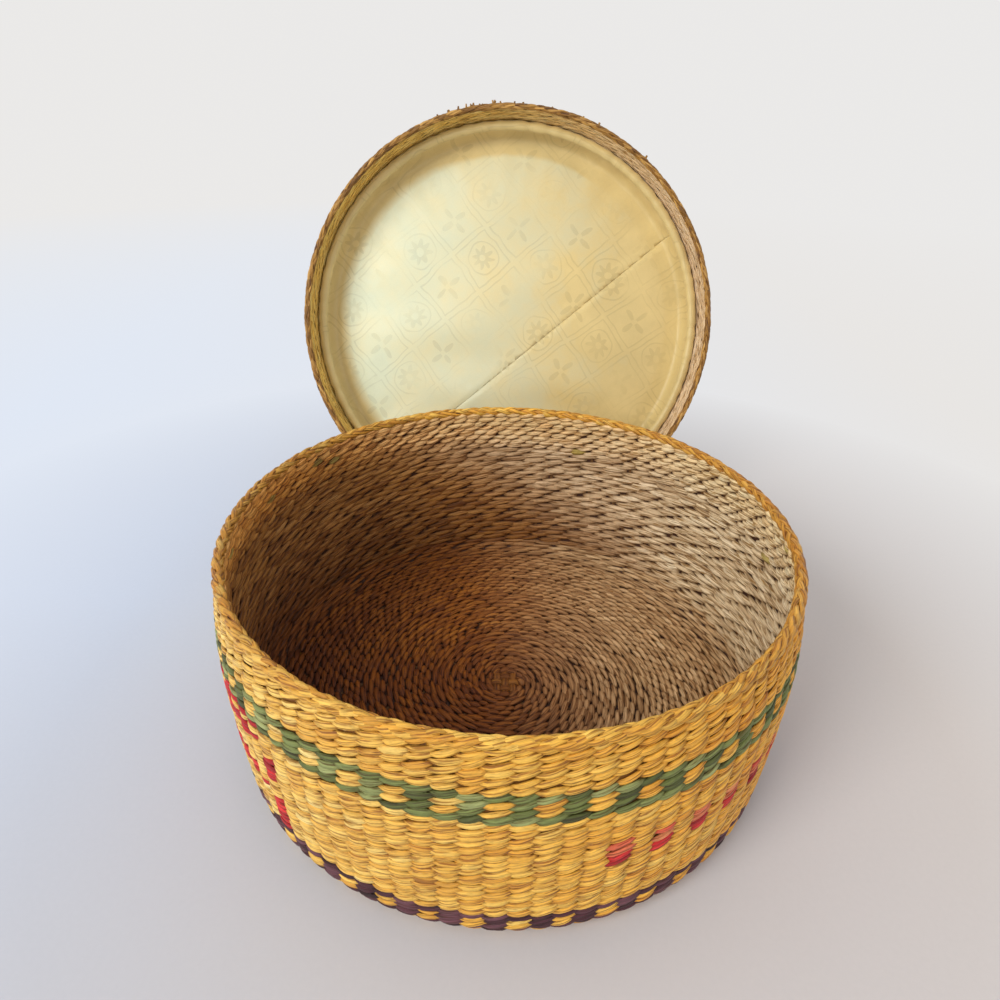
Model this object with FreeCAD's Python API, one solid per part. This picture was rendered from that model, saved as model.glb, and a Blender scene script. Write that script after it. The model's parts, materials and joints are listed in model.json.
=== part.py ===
import FreeCAD, Part
import math
import os

# Round woven tortilla warmer: a drum-shaped straw basket and its cap lid with a padded cloth lining.
#
# Both are twined: stiff spokes and stakes stand side by side, and pairs of straw strands twist
# round them in courses, so each wall has an outer and an inner face of weft with the stakes
# between. Millimetres, +Z up. The origin is the middle of the basket's underside. At rest the
# lid is off, standing on its edge behind the basket (+Y) and leaning back. Closed, it caps the
# rim and its rolled lining hem sits on the border.

# Weave
stake_count = 96
panel_count = stake_count // 2      # the weft runs straight across each pair of stakes
course_pitch = 3.5
stake_width = 1.8
stake_thickness = 0.7

# Basket wall, from the floor up
basket_weft = 1.9                   # one face of weft
basket_stake_space = 1.2            # room for the stakes between the two faces
foot_round = 12.0
neck_radius = 139.7                 # outer face just under the border
belly_swell = 4.4                   # how far the belly stands out past the neck
belly_height = 70.0
foot_draw_in = 2.5                  # from the belly to the top of the rounded foot
foot_turn_width = 9.0               # natural weft round the foot, measured along the face
purple_courses = 4
lower_courses = 18
green_courses = 4
upper_courses = 5
border_height = 6.3
border_overhang = 0.3               # how far the border stands out past the wall, each side

# Floor and lid centre: flat strips cross, and spokes are added as the rounds grow
cross_strips = 3
strip_width = 4.4
strip_pitch = 4.7
strip_thickness = 1.5
spoke_gap = 0.7                     # between the strips' corners and the first spokes
second_spokes_from = 20.0
third_spokes_from = 44.0
last_spokes_from = 84.0

# Lid
lid_weft = 1.6
lid_stake_space = 1.2
lid_depth = 45.0
lid_shoulder_round = 14.0
lid_rim_gap = 4.2                   # from the basket's border to the lid's inner face at the lip
lid_flare = 1.6                     # how much the side widens from the shoulder to the lip
lid_overlap = 18.0                  # how far the lip reaches below the basket's top when closed
lip_height = 5.2
lean_angle = 17.5                   # how far the lid at rest leans back from upright
lid_stand_off = 19.8                # from the basket's belly to the lid's lowest lip point, along Y
floor_clearance = 0.2               # under the lid's edge where it stands

# Lining
hem_roll_radius = 3.2
hem_wall_gap = 0.3                  # from the narrowest part of the lid's side
seat_gap = 0.3                      # between the hem and the basket's border when closed
cloth_thickness = 0.8
pad_gap = 0.15
pad_edge_thickness = 2.5
pad_crown = 3.5                     # how much thicker the pad is in the middle
lining_side_run = 9.9               # from the hem in to where the flat of the lining begins
fold_width = 4.0                    # the drawn-in fold round the pad
fold_depth = 0.9
seam_offset = 24.0                  # of the diagonal seam from the middle of the lining
seam_angle = 39.6

basket_wall = 2 * basket_weft + basket_stake_space
lid_wall = 2 * lid_weft + lid_stake_space
belly_radius = neck_radius + belly_swell
foot_radius = belly_radius - foot_draw_in
lid_inner_radius = neck_radius + border_overhang + lid_rim_gap
lid_lip_radius = lid_inner_radius + lid_wall
lid_crown_radius = lid_lip_radius - lid_flare

# A stake stands a quarter of the way along its panel, where the wall is this share of the
# radius at the panel's corners
panel_share = math.cos(math.pi / panel_count) / math.cos(math.pi / stake_count)


class Drum:
    """A woven wall: a flat round end at height 0, a rounded corner and a side up to an open end.

    along is the distance over the outer face from where the flat end meets the corner, and
    inset is the depth below that face.
    """

    def __init__(self, corner_round, side_radius, side_bends, side_end):
        self.corner_round = corner_round
        self.quarter = corner_round * math.pi / 2
        self.side_bends = side_bends
        self.side_heights = [corner_round] + side_bends + [side_end]
        self.side_radii = [side_radius(height) for height in self.side_heights]
        self.flat_radius = self.side_radii[0] - corner_round

    def along_at(self, height):
        return self.quarter + height - self.corner_round

    def height_at(self, along):
        return self.corner_round + along - self.quarter

    def point(self, along, inset):
        if along <= 0:
            return (self.flat_radius + along, inset)
        if along < self.quarter:
            turn = along / self.corner_round
            reach = self.corner_round - inset
            return (self.flat_radius + reach * math.sin(turn),
                    self.corner_round - reach * math.cos(turn))
        height = self.height_at(along)
        return (self.side_radius(height) - inset, height)

    def side_radius(self, height):
        """The side is straight between its bends."""
        place = 1
        while height > self.side_heights[place] and place < len(self.side_heights) - 1:
            place += 1
        low, high = self.side_heights[place - 1:place + 1]
        share = (height - low) / (high - low)
        return self.side_radii[place - 1] * (1 - share) + self.side_radii[place] * share

    def stations(self, start, end, corner_steps):
        """Where the outline bends between two places on the face, with both ends."""
        corner = [self.quarter * step / corner_steps for step in range(corner_steps + 1)]
        side = [self.along_at(height) for height in self.side_bends]
        between = [along for along in corner + side if start + 0.01 < along < end - 0.01]
        return [start] + between + [end]

    def layer(self, start, end, outer_inset, inner_inset, corner_steps=4):
        """One face of weft between two places, as the outline of its section."""
        places = self.stations(start, end, corner_steps)
        outer = [self.point(along, outer_inset) for along in places]
        inner = [self.point(along, inner_inset) for along in reversed(places)]
        return outer + inner


def ring_wire(radius, height):
    corners = []
    for step in range(panel_count + 1):
        angle = 2 * math.pi * (step % panel_count) / panel_count
        corners.append(FreeCAD.Vector(radius * math.cos(angle), radius * math.sin(angle), height))
    return Part.makePolygon(corners)


def panels_between(lower, upper):
    """The flat panels that join two rings, or the one flat face between them if they are level."""
    if abs(lower[1] - upper[1]) < 1e-9:
        edges = Part.makeCompound([ring_wire(*lower), ring_wire(*upper)])
        return [Part.makeFace(edges, "Part::FaceMakerBullseye")]
    low = ring_wire(*lower).Vertexes
    high = ring_wire(*upper).Vertexes
    faces = []
    for step in range(panel_count):
        after = (step + 1) % panel_count
        corners = [low[step].Point, low[after].Point, high[after].Point, high[step].Point]
        faces.append(Part.Face(Part.makePolygon(corners + corners[:1])))
    return faces


def solid_from(faces):
    shell = Part.Shell(faces)
    shell.sewShape()
    solid = Part.Solid(shell)
    if solid.Volume < 0:
        solid.reverse()
    return solid


def woven_ring(section):
    """A ring with a closed (radius, height) section."""
    faces = []
    for place, point in enumerate(section):
        faces += panels_between(point, section[(place + 1) % len(section)])
    return solid_from(faces)


def woven_disc(edge):
    """A disc or dish: its (radius, height) edge runs from one flat middle face to the other."""
    faces = [Part.Face(ring_wire(*edge[0])), Part.Face(ring_wire(*edge[-1]))]
    for place in range(len(edge) - 1):
        faces += panels_between(edge[place], edge[place + 1])
    return solid_from(faces)


def radial_strip(section, width, angle):
    """A flat strip lying in one radial plane, from its (radius, height) section."""
    corners = [FreeCAD.Vector(radius, -width / 2, height) for radius, height in section]
    face = Part.Face(Part.makePolygon(corners + corners[:1]))
    strip = face.extrude(FreeCAD.Vector(0, width, 0))
    strip.rotate(FreeCAD.Vector(0, 0, 0), FreeCAD.Vector(0, 0, 1), angle)
    return strip


def cross(middle_height):
    """The crossed strips in the middle, one layer lying on the other."""
    length = (cross_strips - 1) * strip_pitch + strip_width
    strips = []
    for number in range(cross_strips):
        offset = (number - (cross_strips - 1) / 2) * strip_pitch - strip_width / 2
        under = Part.makeBox(length, strip_width, strip_thickness)
        under.translate(FreeCAD.Vector(-length / 2, offset, middle_height - strip_thickness))
        over = Part.makeBox(strip_width, length, strip_thickness)
        over.translate(FreeCAD.Vector(offset, -length / 2, middle_height))
        strips += [under, over]
    return strips


def spokes(drum, middle_inset):
    """Spokes from the middle to the edge of the flat end, more of them as the rounds grow."""
    cross_half = ((cross_strips - 1) * strip_pitch + strip_width) / 2
    first_from = cross_half * math.sqrt(2) + spoke_gap
    per_sector = 8
    starts = {0: first_from, 4: second_spokes_from, 2: third_spokes_from, 6: third_spokes_from}
    low = middle_inset - stake_thickness / 2
    high = middle_inset + stake_thickness / 2
    found = []
    for number in range(stake_count):
        start = starts.get(number % per_sector, last_spokes_from)
        section = [(start, low), (drum.flat_radius, low), (drum.flat_radius, high), (start, high)]
        found.append(radial_strip(section, stake_width, 360 * (number + 0.5) / stake_count))
    return found


def side_stakes(drum, start, end, middle_inset):
    outline = drum.layer(start, end, middle_inset - stake_thickness / 2,
                         middle_inset + stake_thickness / 2)
    section = [(radius * panel_share, height) for radius, height in outline]
    return [radial_strip(section, stake_width, 360 * (number + 0.5) / stake_count)
            for number in range(stake_count)]


def rounded_border(inner_radius, outer_radius, bottom, height):
    """A ring over the ends of the stakes, with a half-round top."""
    roll = (outer_radius - inner_radius) / 2
    middle = inner_radius + roll
    steps = 5
    section = [(inner_radius, bottom), (outer_radius, bottom)]
    for step in range(steps + 1):
        turn = math.pi * step / steps
        section.append((middle + roll * math.cos(turn),
                        bottom + height - roll + roll * math.sin(turn)))
    return woven_ring(section)


# Basket: the courses stack up from the foot, and the border closes the top
def basket_side(height):
    """The wall swells from the foot to the belly and draws in again to the neck."""
    if height < belly_height:
        fall = (belly_height - height) / (belly_height - foot_round)
        return belly_radius - (belly_radius - foot_radius) * fall ** 2
    fall = (height - belly_height) / (neck_height - belly_height)
    return belly_radius - (belly_radius - neck_radius) * fall ** 2


foot_quarter = foot_round * math.pi / 2
purple_start = foot_turn_width
purple_end = purple_start + purple_courses * course_pitch
green_start = purple_end + lower_courses * course_pitch
green_end = green_start + green_courses * course_pitch
wall_end = green_end + upper_courses * course_pitch
neck_height = foot_round + wall_end - foot_quarter
basket_height = neck_height + border_height
lower_wall_middle = foot_round + (purple_end + green_start) / 2 - foot_quarter
basket = Drum(foot_round, basket_side,
              [lower_wall_middle, foot_round + green_start - foot_quarter,
               foot_round + green_end - foot_quarter], neck_height)
basket_middle = basket_weft + basket_stake_space / 2
inner_face = basket_weft + basket_stake_space
cross_hole = ((cross_strips - 1) * strip_pitch + strip_width) / math.sqrt(2) + spoke_gap / 2

parts = {}
parts["floor_cross"] = cross(basket_weft + strip_thickness)
parts["floor_spokes"] = spokes(basket, basket_middle)
parts["floor_weave_lower"] = woven_disc([(basket.flat_radius, 0), (basket.flat_radius, basket_weft)])
parts["floor_weave_upper"] = woven_ring(
    [(cross_hole, inner_face), (basket.flat_radius, inner_face),
     (basket.flat_radius, basket_wall), (cross_hole, basket_wall)])
parts["foot_turn_weave_outer"] = woven_ring(basket.layer(0, purple_start, 0, basket_weft))
parts["purple_band"] = woven_ring(basket.layer(purple_start, purple_end, 0, basket_weft))
parts["wall_weave_lower"] = woven_ring(basket.layer(purple_end, green_start, 0, basket_weft))
parts["green_band"] = woven_ring(basket.layer(green_start, green_end, 0, basket_weft))
parts["wall_weave_upper"] = woven_ring(basket.layer(green_end, wall_end, 0, basket_weft))
parts["foot_turn_weave_inner"] = woven_ring(
    basket.layer(0, foot_quarter, inner_face, basket_wall, corner_steps=2))
parts["wall_weave_inner_lower"] = woven_ring(
    basket.layer(foot_quarter, green_start, inner_face, basket_wall))
parts["wall_weave_inner_upper"] = woven_ring(
    basket.layer(green_start, wall_end, inner_face, basket_wall))
parts["side_stakes"] = side_stakes(basket, foot_quarter, wall_end, basket_middle)
parts["rim_border"] = rounded_border(neck_radius - basket_wall - border_overhang,
                                     neck_radius + border_overhang, neck_height, border_height)

# Lid: built like the basket, closed end down, then turned over to where it stands
lid_side_end = lid_depth - lip_height


def lid_side(height):
    """The lid widens a little from its shoulder to its lip."""
    rise = (height - lid_shoulder_round) / (lid_depth - lid_shoulder_round)
    return lid_crown_radius + (lid_lip_radius - lid_crown_radius) * rise


lid = Drum(lid_shoulder_round, lid_side, [], lid_depth)
lid_middle = lid_weft + lid_stake_space / 2
lid_inner_face = lid_weft + lid_stake_space
lid_end = lid.along_at(lid_side_end)

lid_parts = {}
lid_parts["lid_cross"] = cross(lid_middle)
lid_parts["lid_spokes"] = spokes(lid, lid_middle)
lid_parts["lid_top_weave_outer"] = woven_ring(
    [(cross_hole, 0), (lid.flat_radius, 0), (lid.flat_radius, lid_weft), (cross_hole, lid_weft)])
lid_parts["lid_top_weave_inner"] = woven_ring(
    [(cross_hole, lid_inner_face), (lid.flat_radius, lid_inner_face),
     (lid.flat_radius, lid_wall), (cross_hole, lid_wall)])
lid_parts["lid_shoulder_weave_outer"] = woven_ring(
    lid.layer(0, lid.quarter, 0, lid_weft, corner_steps=3))
lid_parts["lid_side_weave_outer"] = woven_ring(lid.layer(lid.quarter, lid_end, 0, lid_weft))
lid_parts["lid_shoulder_weave_inner"] = woven_ring(
    lid.layer(0, lid.quarter, lid_inner_face, lid_wall, corner_steps=2))
lid_parts["lid_side_weave_inner"] = woven_ring(
    lid.layer(lid.quarter, lid_end, lid_inner_face, lid_wall))
lid_parts["lid_stakes"] = side_stakes(lid, lid.quarter, lid_end, lid_middle)
lid_parts["lid_lip_border"] = rounded_border(lid_side(lid_side_end) - lid_wall, lid_lip_radius,
                                             lid_side_end, lip_height)


# Lining: a crowned wadded pad under cloth that turns up the side and ends in a rolled hem
def lining_height(radius):
    """The cloth's face over the flat of the pad: crowned in the middle."""
    edge = lid_wall + pad_gap + pad_edge_thickness + pad_gap + cloth_thickness
    return edge + pad_crown * (1 - (radius / pad_edge_radius) ** 2)


border_roll = (basket_wall + 2 * border_overhang) / 2
border_middle = neck_radius + border_overhang - border_roll
hem_radius = lid_crown_radius - lid_wall - hem_wall_gap - hem_roll_radius
pad_edge_radius = hem_radius - hem_roll_radius - lining_side_run
seat_reach = hem_roll_radius + border_roll + seat_gap
hem_rise = math.sqrt(seat_reach ** 2 - (hem_radius - border_middle) ** 2)
hem_height = lid_depth - lid_overlap - (hem_rise - border_roll)

flat_radii = [pad_edge_radius * share for share in (0.15, 0.5, 0.8, 1.0)]
fold_radius = pad_edge_radius + fold_width
side_top = hem_height - hem_roll_radius
cloth_face = [(radius, lining_height(radius)) for radius in flat_radii]
cloth_face.append((fold_radius, lining_height(pad_edge_radius) - fold_depth))
cloth_face.append((hem_radius - hem_roll_radius, (side_top + lining_height(pad_edge_radius)) / 2))
cloth_face.append((hem_radius, side_top))


def below_face(face, depth):
    """The same line moved away from the open side of the lid, square to the lining."""
    moved = []
    for place, (radius, height) in enumerate(face):
        before = face[max(place - 1, 0)]
        after = face[min(place + 1, len(face) - 1)]
        run = after[0] - before[0]
        rise = after[1] - before[1]
        size = math.hypot(run, rise)
        moved.append((radius + depth * rise / size, height - depth * run / size))
    return moved


cloth = woven_disc(cloth_face + below_face(cloth_face, cloth_thickness)[::-1])
pad_face = below_face(cloth_face[:-2], cloth_thickness + pad_gap)
pad_back = lid_wall + pad_gap
lid_parts["lining_wadding"] = woven_disc(
    pad_face + [(pad_face[-1][0], pad_back), (flat_radii[0], pad_back)])

seam_half = Part.makeBox(2 * lid_lip_radius, lid_lip_radius, lid_depth)
seam_half.translate(FreeCAD.Vector(-lid_lip_radius, -lid_lip_radius - seam_offset, 0))
seam_half.rotate(FreeCAD.Vector(0, 0, 0), FreeCAD.Vector(0, 0, 1), seam_angle)
lid_parts["lining_cloth_large"] = cloth.cut(seam_half)
lid_parts["lining_cloth_small"] = cloth.common(seam_half)

hem_steps = 8
hem_section = []
for step in range(hem_steps):
    turn = 2 * math.pi * step / hem_steps
    hem_section.append((hem_radius + hem_roll_radius * math.cos(turn),
                        hem_height + hem_roll_radius * math.sin(turn)))
lid_parts["lining_hem"] = woven_ring(hem_section)

# Where the lid stands at rest: its lowest shoulder point is just clear of the floor
lean = math.radians(lean_angle)
shoulder_drop = ((lid_lip_radius - lid.flat_radius) * math.cos(lean)
                 - (lid_depth - lid_shoulder_round) * math.sin(lean) - lid_shoulder_round)
lip_low = FreeCAD.Vector(0, belly_radius + lid_stand_off, floor_clearance - shoulder_drop)
lip_centre = lip_low + FreeCAD.Vector(0, math.sin(lean), math.cos(lean)) * lid_lip_radius
open_way = FreeCAD.Vector(0, -math.cos(lean), math.sin(lean))
stand = FreeCAD.Placement(lip_centre - open_way * lid_depth,
                          FreeCAD.Rotation(FreeCAD.Vector(1, 0, 0), 90 - lean_angle))

# The one turn about X that carries the lid from there to the basket's rim has this centre
closed_lip_height = basket_height - lid_overlap
spread = 1 / (2 * math.tan((math.pi / 2 + lean) / 2))
turn_y = lip_centre.y / 2 + spread * (lip_centre.z - closed_lip_height)
turn_z = (lip_centre.z + closed_lip_height) / 2 - spread * lip_centre.y
print("lid turns about y=%.3f z=%.3f through %.1f degrees" % (turn_y, turn_z, 90 + lean_angle))
print("basket height %.3f, closed lip at %.3f, lip centre at rest y=%.3f z=%.3f, hem height %.3f"
      % (basket_height, closed_lip_height, lip_centre.y, lip_centre.z, hem_height))

for name, shape in lid_parts.items():
    solids = shape if isinstance(shape, list) else [shape]
    for solid in solids:
        solid.Placement = stand.multiply(solid.Placement)
    parts[name] = shape

os.makedirs("parts", exist_ok=True)
for name, shape in parts.items():
    if isinstance(shape, list):
        shape = Part.makeCompound(shape)
    shape.exportStep("parts/" + name + ".step")
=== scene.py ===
import json
import math

import bmesh
import bpy
import numpy as np
from mathutils import Matrix, Vector

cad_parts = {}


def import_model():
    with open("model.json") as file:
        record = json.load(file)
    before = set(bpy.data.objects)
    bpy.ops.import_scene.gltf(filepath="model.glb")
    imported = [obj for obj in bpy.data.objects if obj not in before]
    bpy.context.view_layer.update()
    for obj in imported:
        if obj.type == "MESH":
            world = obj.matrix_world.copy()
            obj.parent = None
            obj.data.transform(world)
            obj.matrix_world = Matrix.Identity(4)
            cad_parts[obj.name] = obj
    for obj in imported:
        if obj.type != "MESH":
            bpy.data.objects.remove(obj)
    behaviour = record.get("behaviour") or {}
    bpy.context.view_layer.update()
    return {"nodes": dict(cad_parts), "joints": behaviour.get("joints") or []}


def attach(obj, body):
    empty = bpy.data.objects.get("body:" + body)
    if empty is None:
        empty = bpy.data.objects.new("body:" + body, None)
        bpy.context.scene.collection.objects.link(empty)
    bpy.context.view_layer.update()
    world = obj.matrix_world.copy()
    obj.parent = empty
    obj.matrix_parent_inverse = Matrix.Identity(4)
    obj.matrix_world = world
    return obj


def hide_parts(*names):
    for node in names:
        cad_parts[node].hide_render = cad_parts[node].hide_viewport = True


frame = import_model()

# Metres. The basket stands on the origin, and the lid leans behind it.

# Weave, as in the solids
stake_count = 96
stake_step = 2 * math.pi / stake_count
course_pitch = 0.0035
floor_pitch = 0.0042

# Basket
basket_wall = 0.0050
foot_round = 0.0120
neck_radius = 0.1397
belly_radius = neck_radius + 0.0044
foot_radius = belly_radius - 0.0025
belly_height = 0.0700
foot_turn_width = 0.0090
purple_courses = 4
lower_courses = 18
green_courses = 4
upper_courses = 5
border_height = 0.0063
border_overhang = 0.0003
cross_strips = 3
strip_width = 0.0044
strip_pitch = 0.0047

# Lid
lid_wall = 0.0044
lid_depth = 0.0450
lid_shoulder_round = 0.0140
lid_crown_radius = 0.1470
lid_lip_radius = 0.1486
lid_overlap = 0.0180
lip_height = 0.0052

# Lining
pad_edge_radius = 0.1260
pad_edge_height = 0.0080
pad_crown = 0.0035
hem_radius = 0.1391
hem_height = 0.02379
hem_roll = 0.0032
seam_offset = 0.0240
seam_angle = math.radians(39.6)
cloth_thick = 0.0005

# Stitches that the solids don't have one by one
foot_edge = 0.0005
foot_pitch = 0.0030
corner_start = -0.0010
corner_pitch = 0.0040
inner_count = 64
plump_rows = 7
fine_pitch = 0.0035

# Straw colours, from the darkest strands to the palest
GOLD = ((0.80, 0.54, 0.15), (0.91, 0.66, 0.22), (0.95, 0.73, 0.28), (0.97, 0.78, 0.35), (0.98, 0.85, 0.47))
BEIGE = ((0.66, 0.53, 0.38), (0.77, 0.65, 0.50), (0.83, 0.72, 0.57), (0.88, 0.78, 0.64), (0.93, 0.85, 0.72))
# BROWN is the inside's straw darkened as painted shade, for its shaded left and floor.
BROWN = ((0.46, 0.28, 0.09), (0.58, 0.38, 0.15), (0.66, 0.46, 0.21), (0.72, 0.52, 0.27), (0.76, 0.58, 0.34))
OLIVE = ((0.62, 0.52, 0.22), (0.74, 0.65, 0.34), (0.84, 0.77, 0.50))
GREEN = ((0.28, 0.30, 0.12), (0.42, 0.46, 0.22), (0.52, 0.56, 0.31), (0.65, 0.67, 0.43))
PURPLE = ((0.19, 0.06, 0.08), (0.31, 0.12, 0.17), (0.46, 0.28, 0.32))
RED = ((0.66, 0.05, 0.07), (0.82, 0.11, 0.12), (0.88, 0.22, 0.20))
PALE_RED = ((0.84, 0.26, 0.18), (0.90, 0.46, 0.30), (0.92, 0.58, 0.36))
LIP = ((0.50, 0.34, 0.12), (0.64, 0.46, 0.18), (0.74, 0.55, 0.25), (0.82, 0.64, 0.34))
STAKE = (0.42, 0.28, 0.13)
# The two core colours are straw as it looks in shade, the second deeper: painted shade for the gaps between
# strands.
SHADED_CORE = (0.52, 0.34, 0.14)
SHADOW_CORE = (0.26, 0.14, 0.08)
BACKDROP = (0.92, 0.915, 0.91)


def linear(colour):
    """Linear light values of a colour as it is seen on screen."""
    value = np.asarray(colour, float)
    return np.where(value <= 0.04045, value / 12.92, ((value + 0.055) / 1.055) ** 2.4)


def rgba(colour):
    """The same as a node's colour socket takes it."""
    return (*linear(colour), 1)


def tones(palette, share):
    """Colours along a palette for shares from 0 to 1."""
    stops = np.linspace(0, 1, len(palette))
    colours = linear(palette)
    return np.stack([np.interp(share, stops, colours[:, part]) for part in range(3)], axis=-1)


def smooth_share(value, low, high):
    """How far values have come from low to high, from 0 to 1 with a soft start and end, as a column."""
    share = np.clip((value - low) / (high - low), 0, 1)[:, None]
    return share * share * (3 - 2 * share)


# Shape of the two drums
class Drum:
    """A wall's outer face in section: a flat end, a rounded corner and a side."""

    def __init__(self, corner_round, side_radius):
        self.corner_round = corner_round
        self.side_radius = side_radius
        self.flat_radius = float(side_radius(corner_round)) - corner_round
        self.quarter = corner_round * math.pi / 2

    def face(self, along, depth):
        """Radius, height and outward normal at a distance along the face and below it."""
        turn = np.clip(along / self.corner_round, 0, math.pi / 2)
        height = self.corner_round + np.maximum(along - self.quarter, 0)
        on_side = along > self.quarter
        corner_radius = self.flat_radius + np.minimum(along, 0) + self.corner_round * np.sin(turn)
        radius = np.where(on_side, self.side_radius(height), corner_radius)
        height = np.where(on_side, height, self.corner_round * (1 - np.cos(turn)))
        out = np.sin(turn)
        down = np.cos(turn)
        return radius - depth * out, height + depth * down, out, -down

    def along_at(self, height):
        return self.quarter + height - self.corner_round


foot_quarter = foot_round * math.pi / 2
purple_start = foot_turn_width
lower_start = purple_start + purple_courses * course_pitch
green_start = lower_start + lower_courses * course_pitch
upper_start = green_start + green_courses * course_pitch
wall_end = upper_start + upper_courses * course_pitch
# The solid band ends in a corner; its strands are seen one course higher, clear of the foot
shown_purple_start = purple_start + course_pitch
shown_lower_start = lower_start + course_pitch
neck_height = foot_round + wall_end - foot_quarter
basket_height = neck_height + border_height
cross_half = ((cross_strips - 1) * strip_pitch + strip_width) / 2


def basket_side(height):
    below = np.clip((belly_height - height) / (belly_height - foot_round), 0, None)
    above = np.clip((height - belly_height) / (neck_height - belly_height), 0, None)
    return (belly_radius - (belly_radius - foot_radius) * below ** 2
            - (belly_radius - neck_radius) * above ** 2)


def lid_side(height):
    rise = (height - lid_shoulder_round) / (lid_depth - lid_shoulder_round)
    return lid_crown_radius + (lid_lip_radius - lid_crown_radius) * rise


basket = Drum(foot_round, basket_side)
lid = Drum(lid_shoulder_round, lid_side)

# Where the lid stands at rest: turned back from closed by the whole range of its joint
turn_joint = frame["joints"][0]
hinge = Vector(turn_joint["pos_m"])
lid_closed = (Matrix.Translation((0, 0, basket_height - lid_overlap + lid_depth))
              @ Matrix.Rotation(math.pi, 4, "X"))
lid_at_rest = (Matrix.Translation(hinge)
               @ Matrix.Rotation(-math.radians(turn_joint["range_deg"][1]), 4, "X")
               @ Matrix.Translation(-hinge) @ lid_closed)


# Meshes
def add_object(name, data):
    added = bpy.data.objects.new(name, data)
    bpy.context.scene.collection.objects.link(added)
    return added


def store(mesh, name, kind, values, field):
    layer = mesh.attributes.new(name, kind, "POINT")
    layer.data.foreach_set(field, np.asarray(values, np.float32).ravel())


def settle(piece, body, slot, *nodes):
    """Puts a piece on the body it rides on and hides the solids it stands for. slot, what it is made of, is
    not used.
    """
    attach(piece, body)
    if nodes:
        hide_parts(*nodes)


def piece_from(name, vertices, faces, body, material, slot, *nodes):
    """A mesh piece. faces is a list of arrays, each of faces with as many corners.

    A piece of the lid is made in the lid's own place and moved to where the lid stands at rest.
    """
    mesh = bpy.data.meshes.new(name)
    corners = np.concatenate([block.ravel() for block in faces])
    sizes = np.concatenate([np.full(len(block), block.shape[1]) for block in faces])
    starts = np.concatenate([[0], np.cumsum(sizes)[:-1]])
    mesh.vertices.add(len(vertices))
    mesh.vertices.foreach_set("co", np.asarray(vertices, np.float32).ravel())
    mesh.loops.add(len(corners))
    mesh.loops.foreach_set("vertex_index", corners.astype(np.int32))
    mesh.polygons.add(len(sizes))
    mesh.polygons.foreach_set("loop_start", starts.astype(np.int32))
    mesh.polygons.foreach_set("use_smooth", np.full(len(sizes), True))
    mesh.update(calc_edges=True)
    mesh.validate()
    if body == "lid":
        mesh.transform(lid_at_rest)
    piece = add_object(name, mesh)
    mesh.materials.append(material)
    settle(piece, body, slot, *nodes)
    return piece


def round_axis(radius, theta, height):
    """Points or directions from their reach off the drum's axis, angle round it and height."""
    return np.stack([radius * np.cos(theta), radius * np.sin(theta), height + 0 * theta], -1)


def turned(radius, height, around):
    """An outline turned round the drum's axis: its points, and their numbers row by row."""
    rings = round_axis(radius[:, None], np.arange(around) * 2 * math.pi / around, height[:, None])
    return rings.reshape(-1, 3), np.arange(len(radius) * around).reshape(-1, around)


def grid_faces(index, closed=False):
    """Faces between rows of points that run all round. closed joins the last row to the first."""
    ahead = np.roll(index, -1, axis=0)
    faces = np.stack([index, ahead, np.roll(ahead, -1, axis=1), np.roll(index, -1, axis=1)], -1)
    kept = faces if closed else faces[:-1]
    return kept.reshape(-1, 4)


def strand_mesh(path, normal, wide, flat, colour, sides=8, edge=0.14):
    """Closed strands of rounded section. path and normal are strands by points by 3.

    edge is how much darker and browner a strand's two long edges are than its middle: painted shade where it
    meets its neighbours.
    """
    boxy = 0.8
    count, points, _ = path.shape
    tangent = np.gradient(path, axis=1)
    across = np.cross(normal, tangent)
    across /= np.linalg.norm(across, axis=-1, keepdims=True)
    lift = np.cross(tangent, across)
    lift /= np.linalg.norm(lift, axis=-1, keepdims=True)
    turn = 2 * math.pi * (np.arange(sides) + 0.5) / sides
    side = np.sign(np.cos(turn)) * np.abs(np.cos(turn)) ** boxy
    rise = np.sign(np.sin(turn)) * np.abs(np.sin(turn)) ** boxy
    side_reach = wide[:, :, None] * side
    rise_reach = flat[:, :, None] * rise
    vertices = (path[:, :, None, :] + side_reach[..., None] * across[:, :, None, :]
                + rise_reach[..., None] * lift[:, :, None, :])
    run = np.cumsum(np.linalg.norm(np.diff(path, axis=1, prepend=path[:, :1]), axis=-1), axis=1)
    fibre = np.stack([np.broadcast_to(run[:, :, None], side_reach.shape), side_reach, rise_reach], -1)
    fibre = fibre + (np.arange(count) * 0.0731 % 1)[:, None, None, None]
    # Painted shade along the long edges.
    shade = np.where(np.abs(np.cos(turn)) > 0.8, 1 - edge, 1.0)
    tint = colour[:, :, None, :] * shade[:, None] ** np.array([1.0, 1.25, 1.5])
    index = np.arange(count * points * sides).reshape(count, points, sides)
    after = np.roll(index, -1, axis=2)
    quads = np.stack([index[:, :-1], after[:, :-1], after[:, 1:], index[:, 1:]], -1).reshape(-1, 4)
    ends = np.concatenate([index[:, 0, ::-1], index[:, -1]])
    return vertices.reshape(-1, 3), [quads, ends], fibre.reshape(-1, 3), tint.reshape(-1, 3)


def strand_piece(name, strands, body, slot, *nodes, material=None, **options):
    """Strands as one piece, in the straw that goes with its slot unless another is given."""
    vertices, faces, fibre, tint = strand_mesh(*strands, **options)
    piece = piece_from(name, vertices, faces, body, material or straw_for[slot], slot, *nodes)
    store(piece.data, "fibre", "FLOAT_VECTOR", fibre, "vector")
    store(piece.data, "straw", "FLOAT_COLOR", np.c_[tint, np.ones(len(tint))], "color")


# Weft: each stitch passes over one stake and dives behind the next
class Row:
    """One course of stitches: where it lies, how many there are and how wide they are."""

    def __init__(self, along, count=stake_count, pitch=course_pitch, start=0.5, width=None):
        self.along = along
        self.count = count
        self.pitch = pitch
        self.start = start
        self.width = width or pitch


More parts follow.
